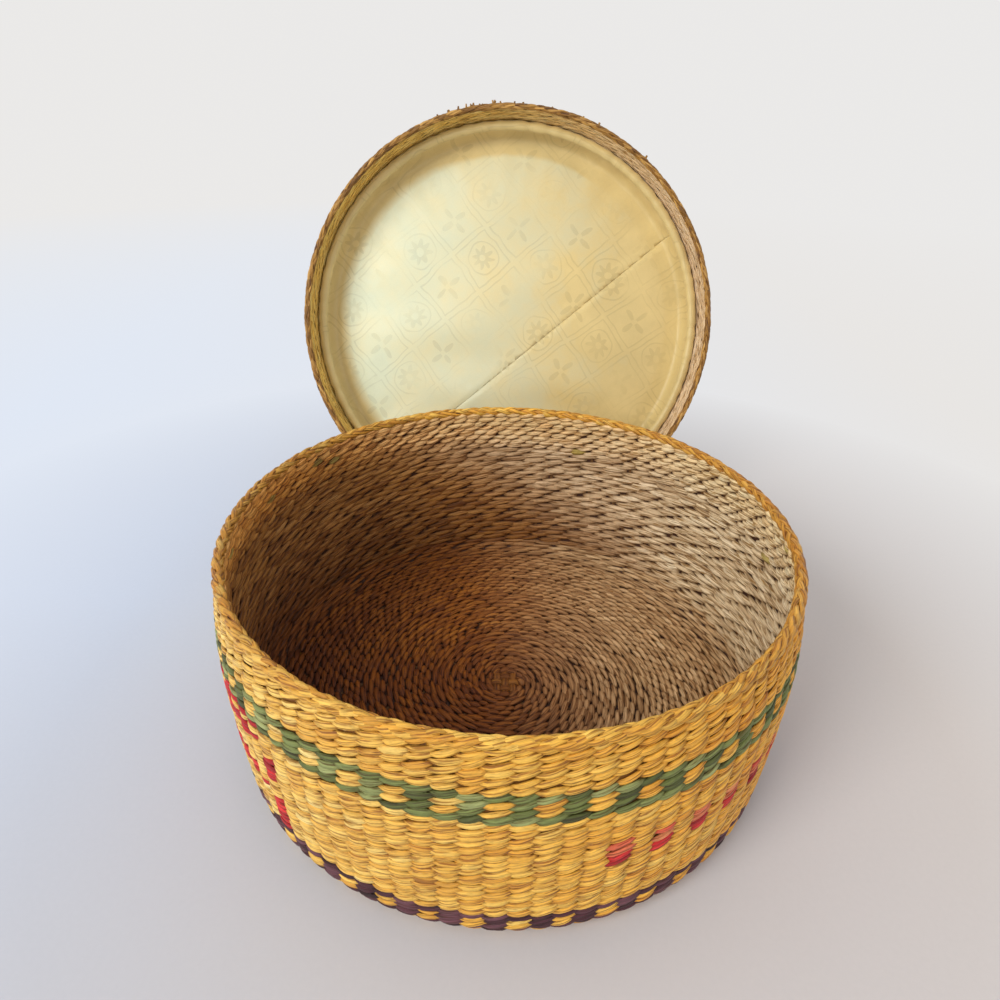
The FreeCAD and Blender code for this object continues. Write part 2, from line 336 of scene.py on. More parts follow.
def stitches(drum, rows, rng, palette, inside=None, lean=0.36, dive=0.0012, thick=0.0009,
             reach=1.46, steps=8, stray=0.0, fill=0.50, jitter=0.05, narrow=0.64, fade=0.58):
    """Paths, normals, section sizes and colours of the stitches of some rows.

    inside is the wall's thickness for stitches on its inner face. reach is a stitch's length in
    steps from stake to stake, lean its rise as a share of the pitch, fill half its width as a share of
    the row's, narrow how much it tapers, fade how dark its ends are, in painted shade, and stray the share
    of olive strands.
    """
    at = np.linspace(-1, 1, steps)
    blocks = []
    for number, row in enumerate(rows):
        count = row.count
        own = rng.normal(size=(8, count)).clip(-2, 2)
        step = 2 * math.pi / count
        angle = (np.arange(count) + row.start + jitter * own[0]) * step
        half = step * reach / 2 * (1 + (0.03 + jitter) * own[1])
        wander = 0.00025 * np.sin(angle * 5 + number * 1.7) + 0.00020 * own[2]
        theta = angle[:, None] + half[:, None] * at
        rise = lean * row.pitch * (1 + 0.25 * own[3])
        along = row.along + wander[:, None] + rise[:, None] * np.sin(at * math.pi / 2)
        depth = thick + dive * (1 - np.cos(at * math.pi / 2)) + (0.00016 * own[4])[:, None]
        flat = thick * (1 + 0.12 * own[6])[:, None] * (1 - 0.45 * np.abs(at) ** 2)
        depth = np.maximum(depth, flat)
        if inside is not None:
            depth = inside - depth
        radius, height, out, up = drum.face(along, depth)
        if inside is not None:
            out, up = -out, -up
        path = round_axis(radius, theta, height)
        normal = round_axis(out, theta, up)
        taper = 1 - narrow * np.abs(at) ** 2.2
        wide = row.width * fill * (1 + 0.11 * own[5])[:, None] * taper
        place = np.arange(count)
        parity = place % 2
        lead = rng.integers(0, 6, 2)
        run = rng.random((2, count // 2 + 8))[parity, (place // 2 + lead[parity]) // 5]
        share = np.clip(0.1 + 0.8 * (0.5 * run + 0.5 * rng.random(count)) + 0.05 * own[7], 0, 1)
        shown = palette(path[:, steps // 2], share) if callable(palette) else tones(palette, share)
        if stray:
            lot = rng.random((2, count // 2 + 8))[parity, place // 2 + lead[parity]] < stray
            shown[lot] = tones(OLIVE, share[lot])
        shown = shown * np.minimum(1, 0.94 / shown.max(axis=1))[:, None]
        blocks.append((path, normal, wide, flat, shown[:, None, :] * painted_end_shade(at, fade)))
    return join(*blocks)


def painted_end_shade(at, fade=0.58):
    """Painted shade: a strand is darker and browner where it goes behind the next."""
    shade = 1 - fade * np.abs(at) ** 3.5
    return shade[:, None] ** np.array([1.0, 1.25, 1.6])


def pick(strands, chosen):
    return [part[chosen] for part in strands]


def join(*groups):
    return [np.concatenate(parts) for parts in zip(*groups)]


def rows_between(start, end, pitch, count=stake_count, stagger=0.0, squeeze=1.0):
    """Rows that fill a stretch of the face, every other one shifted by a share of a step.

    squeeze is how much narrower the rows are than on the outer face, inside a rounded corner.
    """
    number_of = max(1, round((end - start) / pitch))
    fitted = (end - start) / number_of
    return [Row(start + (number + 0.5) * fitted, count, fitted, 0.5 + stagger * (number % 2),
                fitted * squeeze) for number in range(number_of)]


def round_rows(drum, last, pitch):
    """Rounds of a flat end out from its cross, with as many stitches as there are spokes there."""
    rows = []
    for number, row in enumerate(rows_between(cross_half + 0.001, last, pitch)):
        radius = row.along
        count = 12 if radius < 0.020 else 24 if radius < 0.044 else 48 if radius < 0.084 else stake_count
        rows.append(Row(radius - drum.flat_radius, count, row.pitch, 0.5 * (number % 2)))
    return rows


# Nodes that the materials share. A socket's id_data is the tree that it is in
def node_material(name):
    material = bpy.data.materials.new(name)
    material.use_nodes = True
    tree = material.node_tree
    return material, tree, tree.nodes["Principled BSDF"]


def fill(node, inputs):
    """Sets a node's inputs, or links them where the value is another node's output."""
    for name, value in inputs.items():
        if isinstance(value, bpy.types.NodeSocket):
            node.id_data.links.new(value, node.inputs[name])
        elif value is not None:
            node.inputs[name].default_value = value


def add_node(tree, kind, inputs, **settings):
    node = tree.nodes.new("ShaderNode" + kind)
    for name, value in settings.items():
        setattr(node, name, value)
    fill(node, inputs)
    return node


def calc(operation, first, second=None, clamp=False):
    inputs = {0: first, 1: second}
    return add_node(first.id_data, "Math", inputs, operation=operation, use_clamp=clamp).outputs[0]


def multiplied(vector, factors):
    return add_node(vector.id_data, "VectorMath", {0: vector, 1: factors}, operation="MULTIPLY").outputs[0]


def scale_colour(colour, factor):
    inputs = {0: colour, "Scale": factor}
    return add_node(colour.id_data, "VectorMath", inputs, operation="SCALE").outputs[0]


def length_of(vector):
    return add_node(vector.id_data, "VectorMath", {0: vector}, operation="LENGTH").outputs["Value"]


def parts_of(vector):
    return add_node(vector.id_data, "SeparateXYZ", {0: vector}).outputs


def stretched_noise(vector, stretch, detail=3.0):
    """Noise finer along some axes than along others."""
    inputs = {"Vector": multiplied(vector, stretch), "Scale": 1.0, "Detail": detail, "Roughness": 0.6}
    return add_node(vector.id_data, "TexNoise", inputs).outputs["Fac"]


def even_noise(vector, scale, detail=3.0):
    return stretched_noise(vector, (scale, scale, scale), detail)


def remap(value, low, high, new_low, new_high):
    inputs = {"Value": value, "From Min": low, "From Max": high, "To Min": new_low, "To Max": new_high}
    return add_node(value.id_data, "MapRange", inputs).outputs["Result"]


def graded(noise, low, high):
    """A noise stretched to run from low to high."""
    return remap(noise, 0.3, 0.7, low, high)


def mixed(factor, first, second):
    """A mix of two colours, each a plain colour or another node's."""
    below, above = [rgba(colour) if isinstance(colour, tuple) else colour for colour in (first, second)]
    inputs = {"Factor": factor, 6: below, 7: above}
    return add_node(factor.id_data, "Mix", inputs, data_type="RGBA").outputs[2]


def plain_colour(tree, colour):
    output = add_node(tree, "RGB", {}).outputs[0]
    output.default_value = rgba(colour)
    return output


def attribute(tree, name, output):
    return add_node(tree, "Attribute", {}, attribute_name=name).outputs[output]


def object_place(tree):
    return add_node(tree, "TexCoord", {}).outputs["Object"]


def relief(height, distance, strength=1.0):
    inputs = {"Height": height, "Distance": distance, "Strength": strength}
    return add_node(height.id_data, "Bump", inputs).outputs[0]


def looked_at(tree):
    """1 for what the camera sees, straight or in a gloss or glass, and 0 for light on other things."""
    rays = add_node(tree, "LightPath", {}).outputs
    indirect = calc("MAXIMUM", rays["Is Glossy Ray"], rays["Is Transmission Ray"])
    return calc("MAXIMUM", rays["Is Camera Ray"], indirect)


def blend_into(output, share, first, second):
    """Sends a mix of two shaders to the material's or the world's output."""
    tree = share.id_data
    blend = add_node(tree, "MixShader", {0: share, 1: first.outputs[0], 2: second.outputs[0]})
    fill(tree.nodes[output], {"Surface": blend.outputs[0]})


# Straw
def straw_material(name, gloss):
    """Split straw: lengthwise fibres in colour, roughness and relief, over each strand's own tone, with
    painted shade in the creases between the fibres.
    """
    material, tree, shader = node_material(name)
    fibre = attribute(tree, "fibre", "Vector")
    fine = stretched_noise(fibre, (110.0, 3600.0, 3600.0))
    broad = stretched_noise(fibre, (70.0, 1300.0, 1300.0), detail=1.0)
    blotch = stretched_noise(fibre, (240.0, 420.0, 420.0), detail=2.0)
    tone = calc("MULTIPLY", graded(fine, 0.78, 1.16), graded(broad, 0.74, 1.20))
    factor = calc("MULTIPLY", tone, remap(blotch, 0.30, 0.50, 0.80, 1.03))
    colour = scale_colour(attribute(tree, "straw", "Color"), factor)
    # Dark brown creases between the fibres: painted shade.
    crease_shade = multiplied(colour, (0.60, 0.44, 0.24))
    fill(shader, {"Base Color": mixed(remap(broad, 0.37, 0.46, 1, 0), colour, crease_shade),
                  "Roughness": graded(fine, 0.58 - gloss, 0.76 - gloss),
                  "Specular IOR Level": 0.45,
                  "Normal": relief(calc("ADD", fine, broad), 0.0005, 0.8)})
    return material


def position_straw(name, colour):
    """The same fibres for the stakes, spokes and cores, which hold no strand of their own."""
    material, tree, shader = node_material(name)
    fine = stretched_noise(object_place(tree), (1800.0, 1800.0, 500.0))
    fill(shader, {"Base Color": scale_colour(plain_colour(tree, colour), graded(fine, 0.7, 1.15)),
                  "Roughness": graded(fine, 0.6, 0.8),
                  "Normal": relief(fine, 0.0002)})
    return material


outer_straw = straw_material("outer_straw", 0.20)
inner_straw = straw_material("inner_straw", 0.04)
dyed_straw = straw_material("dyed_straw", 0.10)
stake_straw = position_straw("stake_straw", STAKE)
shaded_core_straw = position_straw("shaded_core_straw", SHADED_CORE)
shadow_core_straw = position_straw("shadow_core_straw", SHADOW_CORE)
straw_for = {"straw_outer": outer_straw, "straw_inner": inner_straw, "straw_purple": dyed_straw,
             "straw_green": dyed_straw, "straw_red": dyed_straw}


# Where the straw is paler, browner or redder. place is a strand's middle, share its own place in a palette
def outer_gold(place, share):
    """Golden straw with painted light and shade: paler towards the left, where the lamp lights it, and
    deeper towards the right, in shade.
    """
    side = place[:, 0] / belly_radius
    # Painted light at the left and painted shade at the right.
    painted_pale = np.clip(-side, 0, 1)[:, None] ** 1.1
    painted_shade = np.clip(side, 0, 1)[:, None] ** 1.5
    shift = painted_pale * np.array([0.0, 0.20, 1.15]) + painted_shade * np.array([0.22, 0.02, -0.36])
    return tones(GOLD, share) * (1 + shift)


def inner_mix(place, share):
    """The inside's straw with painted shade and light: brown-gold on the shaded left and darker low down,
    beige on the lit right, and paler in the top rows, as painted light where the border shades them.
    """
    x, y = place[:, 0], place[:, 1]
    level = place[:, 2] / basket_height
    # The share of beige, the darkening low down and at the left, and the lightening far right and in the top
    # rows are painted light and shade.
    right = smooth_share(x - 0.25 * y + 0.17 * (level - 0.55), -0.095, 0.04)
    low = (1 - smooth_share(level, 0.1, 0.75)) * (1 - 0.45 * smooth_share(y, 0.02, 0.12))
    top = smooth_share(level, 0.70, 0.97) * (1 - 0.65 * smooth_share(x, 0.02, 0.11))
    painted_shade = np.array([0.44, 0.56, 0.72]) + smooth_share(-x, 0.04, 0.11) * np.array([0.14, 0.16, 0.14])
    brown = 1.12 * tones(BROWN, share) * (1 - low * painted_shade)
    painted_light_right = smooth_share(x, 0.06, 0.13) * np.array([0.12, 0.22, 0.27])
    beige = 1.12 * tones(BEIGE, share) * (1 + painted_light_right)
    blend = brown * (1 - right) + beige * right
    return blend * (1 + top * np.array([1.20, 1.15, 0.70]))


def floor_mix(place, share):
    """The floor's straw with painted shade and light: dark brown at the left, in the wall's shadow, darker
    still near the wall at the left, lighter towards the back, and tan at the right, where the light falls.
    """
    x, y = place[:, 0], place[:, 1]
    right = smooth_share(x + 0.2 * y, -0.02, 0.10)
    back = smooth_share(y, -0.01, 0.09)
    shaded = smooth_share(np.hypot(x, y), 0.06, 0.115) * smooth_share(-x, -0.03, 0.05)
    brown = tones(BROWN, share * 0.8) * (np.array([0.74, 0.45, 0.02]) + back * np.array([0.52, 0.52, 0.36]))
    brown = 1.10 * brown * (1 - shaded * np.array([0.34, 0.40, 0.46]))
    return brown * (1 - right) + tones(BEIGE, share) * np.array([1.05, 0.93, 0.76]) * right


def corner_mix(place, share):
    """The floor's colours, darker still in the rounded corner as painted shade."""
    return floor_mix(place, share) * 0.80


def rim_gold(place, share):
    """The border's straw: golden in front and behind, browner at the sides."""
    side = place[:, 0] / belly_radius
    left = np.clip(-side, 0, 1)[:, None] ** 1.5
    right = np.clip(side, 0, 1)[:, None] ** 1.5
    toned = tones(GOLD, (0.10 + 0.72 * share) * (1 - 0.25 * right[:, 0]))
    return toned * (1 - left * np.array([0.36, 0.42, 0.34]) - right * np.array([0.28, 0.36, 0.28]))


def lid_band(place, share):
    """The lid's inner weave, lightened as painted light where it lies in shade: golden at the left and pale
    beige at the right, where it faces the lamp.
    """
    right = smooth_share(place[:, 0], -0.06, 0.13)
    # Painted light: the band's gold and beige are lightened over the shade it lies in.
    painted_pale = tones(GOLD, 0.5 + 0.5 * share) * np.array([1.15, 1.28, 1.70])
    return painted_pale * (1 - right) + tones(BEIGE, 0.3 + 0.7 * share) * 1.2 * right


# Dyed straw: two bands and the red motifs
def stake_azimuth(strands):
    """Each stitch's place round the drum, in degrees from the front towards +X."""
    middle = strands[0][:, strands[0].shape[1] // 2]
    return np.degrees(np.arctan2(middle[:, 0], -middle[:, 1]))


def every_other(azimuth, shift):
    """Which stitches lie over every second stake, counted from the front."""
    number = np.round(azimuth / math.degrees(stake_step) - 0.5).astype(int)
    return (number + shift) % 2 == 0


def dye(strands, chosen, palette, rng):
    """Gives the chosen stitches the tones of a dyed straw."""
    tone = tones(palette, rng.random(len(chosen)))[:, None, :]
    at = np.linspace(-1, 1, strands[4].shape[1])
    strands[4][chosen] = (tone * painted_end_shade(at))[chosen]


def banded(start, end, palette, shift, rng):
    """A dyed band: whole courses at its edges, and blocks over every other stake between them."""
    rows = rows_between(start, end, course_pitch)
    strands = stitches(basket, rows, rng, outer_gold)
    row_number = np.repeat(np.arange(len(rows)), stake_count)
    edge = (row_number == 0) | (row_number == len(rows) - 1)
    dye(strands, edge | every_other(stake_azimuth(strands), shift), palette, rng)
    return strands


def red_places(azimuth, row):
    """Which stitches are red: 1 for deep red and 2 for pale red. Rows count up from the purple band."""
    right = (azimuth > 14) & (azimuth < 80) & every_other(azimuth, 0) & (row >= 9) & (row <= 12)
    column = np.round(-azimuth / math.degrees(stake_step) - 0.5).astype(int)
    left = (azimuth < -37) & (azimuth > -100)
    place = (column - 10) % 6
    thin = left & (column > 11) & ((row == 17) | (row == 15) | (row == 7))
    far = left & (column > 12) & ((row == 14) | (row == 8))
    block = left & (place == 1) & (((row >= 10) & (row <= 13)) | (row <= 6))
    tip = left & (place == 5) & (row >= 13)
    found = np.zeros(len(azimuth), int)
    found[thin | far | block | tip | right] = 1
    found[right & (row >= 11)] = 2
    return found


def basket_outside(rng):
    """The outside from the foot up: natural straw, a purple and a green band, and red motifs."""
    foot = stitches(basket, rows_between(foot_edge, shown_purple_start, foot_pitch), rng, outer_gold)
    strand_piece("foot_turn_stitches", foot, "basket", "straw_outer", "foot_turn_weave_outer")
    purple = banded(shown_purple_start, shown_lower_start, PURPLE, 1, rng)
    strand_piece("purple_band_stitches", purple, "basket", "straw_purple", "purple_band")
    lower_rows = rows_between(shown_lower_start, green_start, course_pitch)
    lower = stitches(basket, lower_rows, rng, outer_gold)
    row_number = np.repeat(np.arange(len(lower_rows)), stake_count) + 1
    red = red_places(stake_azimuth(lower), row_number)
    dye(lower, red == 1, RED, rng)
    dye(lower, red == 2, PALE_RED, rng)
    strand_piece("wall_lower_stitches", pick(lower, red == 0), "basket", "straw_outer", "wall_weave_lower")
    strand_piece("red_motif_stitches", pick(lower, red > 0), "basket", "straw_red")
    green = banded(green_start, upper_start, GREEN, 0, rng)
    strand_piece("green_band_stitches", green, "basket", "straw_green", "green_band")
    upper = stitches(basket, rows_between(upper_start, wall_end, course_pitch), rng, outer_gold)
    strand_piece("wall_upper_stitches", upper, "basket", "straw_outer", "wall_weave_upper")


# Inside of the basket
inner_edge_shade = 0.42
inner_long = dict(inside=basket_wall, lean=-0.30, reach=1.42, fill=0.56, jitter=0.10, narrow=0.54, fade=0.60)
inner_short = dict(inside=basket_wall, lean=-0.28, dive=0.0013, thick=0.0010, reach=1.34, stray=0.03,
                   fill=0.54, jitter=0.08, narrow=0.56, fade=0.60)
floor_long = dict(inside=basket_wall, lean=-0.22, reach=1.52, jitter=0.10, narrow=0.54, steps=7)


def basket_inside(rng):
    """The wall's inner face: long flat stitches low down, short plump ones in the top rows."""
    corner_squeeze = 1.1 * (foot_round - basket_wall) / foot_round
    inner_change = wall_end - plump_rows * course_pitch
    corner_rows = rows_between(corner_start, foot_quarter, corner_pitch, inner_count, 0.5, corner_squeeze)
    lower_rows = rows_between(foot_quarter, green_start, course_pitch, inner_count, 0.5)
    middle_rows = rows_between(green_start, inner_change, course_pitch, inner_count, 0.5)
    top_rows = rows_between(inner_change, wall_end, course_pitch, stake_count, 0.5)
    corner = stitches(basket, corner_rows, rng, corner_mix, **inner_long)
    lower = stitches(basket, lower_rows, rng, inner_mix, **inner_long)
    middle = stitches(basket, middle_rows, rng, inner_mix, stray=0.03, **inner_long)
    top = stitches(basket, top_rows, rng, inner_mix, **inner_short)
    for name, strands, node in (
            ("foot_turn_inner_stitches", corner, "foot_turn_weave_inner"),
            ("inner_wall_lower_stitches", lower, "wall_weave_inner_lower"),
            ("inner_wall_upper_stitches", join(middle, top), "wall_weave_inner_upper")):
        strand_piece(name, strands, "basket", "straw_inner", node, edge=inner_edge_shade)


def woven_cross(height, thick, tint):
    """Flat strips crossing over and under each other in the middle of a flat end."""
    points = 25
    tuck = 0.004
    run = np.linspace(-1, 1, points) * (cross_half + tuck)
    paths = []
    for number in range(cross_strips):
        offset = np.full(points, (number - (cross_strips - 1) / 2) * strip_pitch)
        for across in (False, True):
            phase = math.pi * (number + (1 if across else 0))
            wave = 0.55 * thick * np.cos(run / strip_pitch * math.pi + phase)
            edge = np.clip((np.abs(run) - cross_half) / tuck, 0, 1)
            level = height + wave - 0.002 * edge
            paths.append(np.stack([offset, run, level] if across else [run, offset, level], -1))
    path = np.array(paths)
    normal = np.broadcast_to(np.array([0.0, 0.0, 1.0]), path.shape)
    wide = np.full(path.shape[:2], strip_width * 0.47)
    flat = np.full(path.shape[:2], thick * 0.5)
    colour = tones(BROWN, 0.2 + 0.5 * np.random.default_rng(3).random(len(path))) * np.array(tint)
    return [path, normal, wide, flat, np.repeat(colour[:, None, :], points, 1)]


def basket_floor(rng):
    """The floor's two faces of weft, and the cross in its middle."""
    floor_end = basket.flat_radius + corner_start
    top = stitches(basket, round_rows(basket, floor_end, fine_pitch), rng, floor_mix, **floor_long)
    strand_piece("floor_top_stitches", top, "basket", "straw_inner", "floor_weave_upper", sides=6, edge=0.34)
    under = stitches(basket, round_rows(basket, floor_end, floor_pitch), rng, outer_gold, steps=7)
    strand_piece("floor_under_stitches", under, "basket", "straw_outer", "floor_weave_lower", sides=6)
    cross = woven_cross(basket_wall - 0.0012, 0.0011, (0.74, 0.56, 0.26))
    strand_piece("floor_cross_strips", cross, "basket", "stake_straw", "floor_cross", material=inner_straw)


# Cores, seen only between strands: thin sheets in straw coloured as in shade, painted shade for the gaps
def core(name, drum, first, last, depth, body, material):
    """The middle of a wall, a thin sheet coloured as straw in shade: painted shade in the gaps between
    strands.
    """
    thickness = 0.0003
    along = np.linspace(first, last, 40)
    face, height, _, _ = drum.face(along, depth)
    back, back_height, _, _ = drum.face(along[::-1], depth + thickness)
    points, index = turned(np.r_[face, back], np.r_[height, back_height], 96)
    piece_from(name, points, [grid_faces(index, closed=True)], body, material, "stake_straw")


def roll_core(name, middle_radius, middle_height, roll, body):
    """The filling of a border, in the darkest core straw: painted shade in the gaps between its strands."""
    sides = 12
    turn = -np.arange(sides) * 2 * math.pi / sides
    points, index = turned(middle_radius + roll * np.cos(turn), middle_height + roll * np.sin(turn), 144)
    piece_from(name, points, [grid_faces(index, closed=True)], body, shadow_core_straw, "stake_straw")


def basket_cores():
    half = basket_wall / 2
    cross_end = cross_half - basket.flat_radius
    core("floor_core", basket, cross_end, -0.004, half - 0.0001, "basket", shadow_core_straw)
    core("wall_core", basket, -0.003, wall_end + 0.001, half - 0.0004, "basket", shaded_core_straw)
    core("inner_wall_core", basket, -0.003, wall_end + 0.001, half + 0.0002, "basket", shadow_core_straw)


# Borders: short strands laid slantwise over the edge, row against row
def border(middle_radius, middle_height, roll, turns, pitch, rng, palette, lean=0.0017, thick=0.0008):
    """Rows of slanted strands on a roll. turns are the rows' places round it, from the outside over."""
    steps = 9
    reach = 1.7
    at = np.linspace(-1, 1, steps)
    blocks = []
    for number, turn in enumerate(turns):
        own = rng.normal(size=(6, stake_count)).clip(-2, 2)
        angle = (np.arange(stake_count) + 0.5 * (number % 2) + 0.08 * own[0]) * stake_step
        theta = angle[:, None] + at * stake_step * reach / 2 * (1 + 0.08 * own[1])[:, None]
        side = 1 if number < len(turns) / 2 else -1
        rise = side * lean * (1 + 0.2 * own[2])[:, None] * np.sin(at * math.pi / 2)
        over = turn + rise / roll
        reach_out = roll - thick - 0.0017 * (1 - np.cos(at * math.pi / 2)) + (0.00012 * own[3])[:, None]
        radius = middle_radius + reach_out * np.cos(over)
        height = middle_height + reach_out * np.sin(over)
        path = round_axis(radius, theta, height)
        normal = round_axis(np.cos(over), theta, np.sin(over))
        wide = pitch * 0.50 * (1 + 0.14 * own[4])[:, None] * (1 - 0.72 * np.abs(at) ** 2.2)
        flat = thick * (1 - 0.40 * np.abs(at) ** 2) * np.ones((stake_count, 1))
        share = rng.random(stake_count)
        shown = palette(path[:, steps // 2], share) if callable(palette) else tones(palette, share)
        blocks.append((path, normal, wide, flat, shown[:, None, :] * painted_end_shade(at)))
    return join(*blocks)


def basket_rim(rng):
    """The plaited border over the stakes' ends, and a last row of weft on each side under it."""
    roll = (basket_wall + 2 * border_overhang) / 2
    middle_radius = neck_radius + border_overhang - roll
    middle_height = basket_height - roll
    turns = np.radians([-8, 46, 98, 148, 200])
    plait = border(middle_radius, middle_height, roll, turns, 0.0027, rng, rim_gold)
    strand_piece("rim_plait", plait, "basket", "straw_outer", "rim_border")
    roll_core("rim_core", middle_radius, middle_height, roll - 0.0013, "basket")
    under_rim = [Row(basket.along_at(neck_height + 0.0012), pitch=0.0030)]
    strand_piece("rim_outer_row", stitches(basket, under_rim, rng, rim_gold), "basket", "straw_outer")
    inner_row = stitches(basket, under_rim, rng, inner_mix, **inner_short)
    strand_piece("rim_inner_row", inner_row, "basket", "straw_outer")


# Lid
lid_side_end = lid.along_at(lid_depth - lip_height)
lid_outer = dict(dive=0.0009, thick=0.00052)
lid_inner = dict(inside=lid_wall, dive=0.0005, thick=0.00055, reach=1.5, lean=-0.24, fade=0.15, fill=0.56)


def lid_weave(rng):
    """The two faces of weft on the lid's flat, its shoulder and its side, and the cross in its middle."""
    flat_rows = round_rows(lid, lid.flat_radius, floor_pitch)
    shoulder_rows = rows_between(0, lid.quarter, course_pitch)
    side_rows = rows_between(lid.quarter, lid_side_end, course_pitch)
    inner_shoulder_rows = rows_between(0, lid.quarter, 0.0045)
    inner_side_rows = rows_between(lid.quarter, lid_side_end, 0.0029, stake_count, 0.5)
    for part, outer_rows, outer_sides, inner_rows, inner_sides, inner_palette in (
            ("top", flat_rows, 6, flat_rows, 5, BEIGE),
            ("shoulder", shoulder_rows, 8, inner_shoulder_rows, 5, BEIGE),
            ("side", side_rows, 8, inner_side_rows, 8, lid_band)):
        outer = stitches(lid, outer_rows, rng, GOLD, **lid_outer)
        strand_piece(f"lid_{part}_stitches", outer, "lid", "straw_outer", f"lid_{part}_weave_outer",
                     sides=outer_sides)
        inner = stitches(lid, inner_rows, rng, inner_palette, **lid_inner)
        strand_piece(f"lid_{part}_inner_stitches", inner, "lid", "straw_inner", f"lid_{part}_weave_inner",
                     sides=inner_sides)
    cross = woven_cross(0.0013, 0.0011, (1.4, 1.4, 1.3))
    strand_piece("lid_cross_strips", cross, "lid", "stake_straw", "lid_cross", material=outer_straw)
    core("lid_core", lid, cross_half - lid.flat_radius, lid_side_end + 0.003, lid_wall / 2 - 0.0001, "lid",
         shaded_core_straw)


def stake_ends(rng):
    """Cut ends of the lid's stakes that stand out of the border, where it leans back highest."""
    count, steps = 20, 5
    at = np.linspace(0, 1, steps)
    angle = np.radians(np.r_[rng.uniform(94, 110, 13), rng.uniform(48, 94, count - 13)])
    length = rng.uniform(0.0004, 0.0018, count)
    slant = rng.uniform(-0.7, 0.7, count)
    start = lid_lip_radius - 0.0016
    level = lid_depth - rng.uniform(0.0006, 0.0034, count)
    radius = start + at * (length + 0.0016)[:, None]
    theta = angle[:, None] + at * (slant * length / start)[:, None]
    height = level[:, None] + at * (rng.uniform(-0.0008, 0.0004, count))[:, None]
    path = round_axis(radius, theta, height)
    normal = np.broadcast_to(np.array([0.0, 0.0, 1.0]), path.shape)
    wide = rng.uniform(0.0007, 0.0012, count)[:, None] * (1 - 0.35 * at)
    flat = np.full((count, steps), 0.0006)
    colour = np.repeat(tones(LIP, rng.random(count))[:, None, :], steps, 1)
    return [path, normal, wide, flat, colour]


def lid_lip(rng):
    """The border round the lip, the cut ends in it, and a last row of weft on each side under it."""
    roll = lid_wall / 2
    middle_radius = lid_lip_radius - roll
    middle_height = lid_depth - roll
    turns = np.radians([-8, 48, 100, 152, 204])
    plait = border(middle_radius, middle_height, roll, turns, 0.0022, rng, LIP, lean=0.0010, thick=0.0007)
    strand_piece("lip_plait", plait, "lid", "straw_outer", "lid_lip_border")
    strand_piece("lip_stake_ends", stake_ends(np.random.default_rng(5)), "lid", "straw_outer", sides=6)
    roll_core("lip_core", middle_radius, middle_height, roll - 0.0011, "lid")
    under_lip = [Row(lid_side_end + 0.0012, pitch=0.0028)]
    strand_piece("lip_outer_row", stitches(lid, under_lip, rng, GOLD, **lid_outer), "lid", "straw_outer")
    strand_piece("lip_inner_row", stitches(lid, under_lip, rng, lid_band, **lid_inner), "lid", "straw_inner")


# Lining
def lining_profile():
    """Radius and height of the cloth's face from the middle of the pad to the hem."""
    flat = np.linspace(0.0, 1.0, 34) ** 0.9 * (pad_edge_radius - 0.003)
    crowned = pad_edge_height + pad_crown * (1 - (flat / pad_edge_radius) ** 2)
    turn = np.linspace(0, 1, 11)[1:]
    roll_radius = flat[-1] + 0.0095 * turn
    roll_height = crowned[-1] - 0.0009 * np.sin(turn * math.pi / 2)
    rise = np.linspace(0, 1, 17)[1:]
    side_radius = roll_radius[-1] + (hem_radius - 0.0012 - roll_radius[-1]) * np.sin(rise * math.pi / 2)
    side_height = roll_height[-1] + (hem_height - 0.002 - roll_height[-1]) * rise ** 2.0
    return np.r_[flat, roll_radius, side_radius], np.r_[crowned, roll_height, side_height]


def lining_surface():
    """Rings of points on the cloth's face: stretched over the pad, puckered at its edge and sewn."""
    radius, height = lining_profile()
    around = 288
    theta = np.arange(around) * 2 * math.pi / around
    spread, angle = np.meshgrid(radius, theta, indexing="ij")
    level = np.repeat(height[:, None], around, 1)
    share = spread / pad_edge_radius
    near = np.clip((share - 0.55) / 0.45, 0, 1) ** 2
    rng = np.random.default_rng(21)
    puckers = np.zeros_like(level)
    for _ in range(26):
        waves = rng.integers(14, 60)
        puckers += rng.normal() * np.sin(waves * angle + rng.random() * 6.28) / waves ** 0.5
    level += 0.00034 * near * puckers
    wall = np.clip((level - pad_edge_height) / (hem_height - pad_edge_height), 0, 1)
    spread = spread - 0.0005 * np.sin(math.pi * wall) * (share > 0.95) * puckers
    x = spread * np.cos(angle)
    y = spread * np.sin(angle)
    for _ in range(16):
        way = rng.random() * 6.28
        wave = 6.28 / rng.uniform(0.022, 0.075)
        swell = np.sin(wave * (x * math.cos(way) + y * math.sin(way)) + rng.random() * 6.28)
        level += 0.00030 * (1 - near) * swell
    across = x * math.sin(seam_angle) - y * math.cos(seam_angle) - seam_offset
    level -= 0.0011 * np.exp(-(across / 0.0016) ** 2) * (spread < hem_radius - 0.002)
    level += 0.0005 * np.exp(-(across / 0.006) ** 2)
    return np.stack([x, y, level], -1)


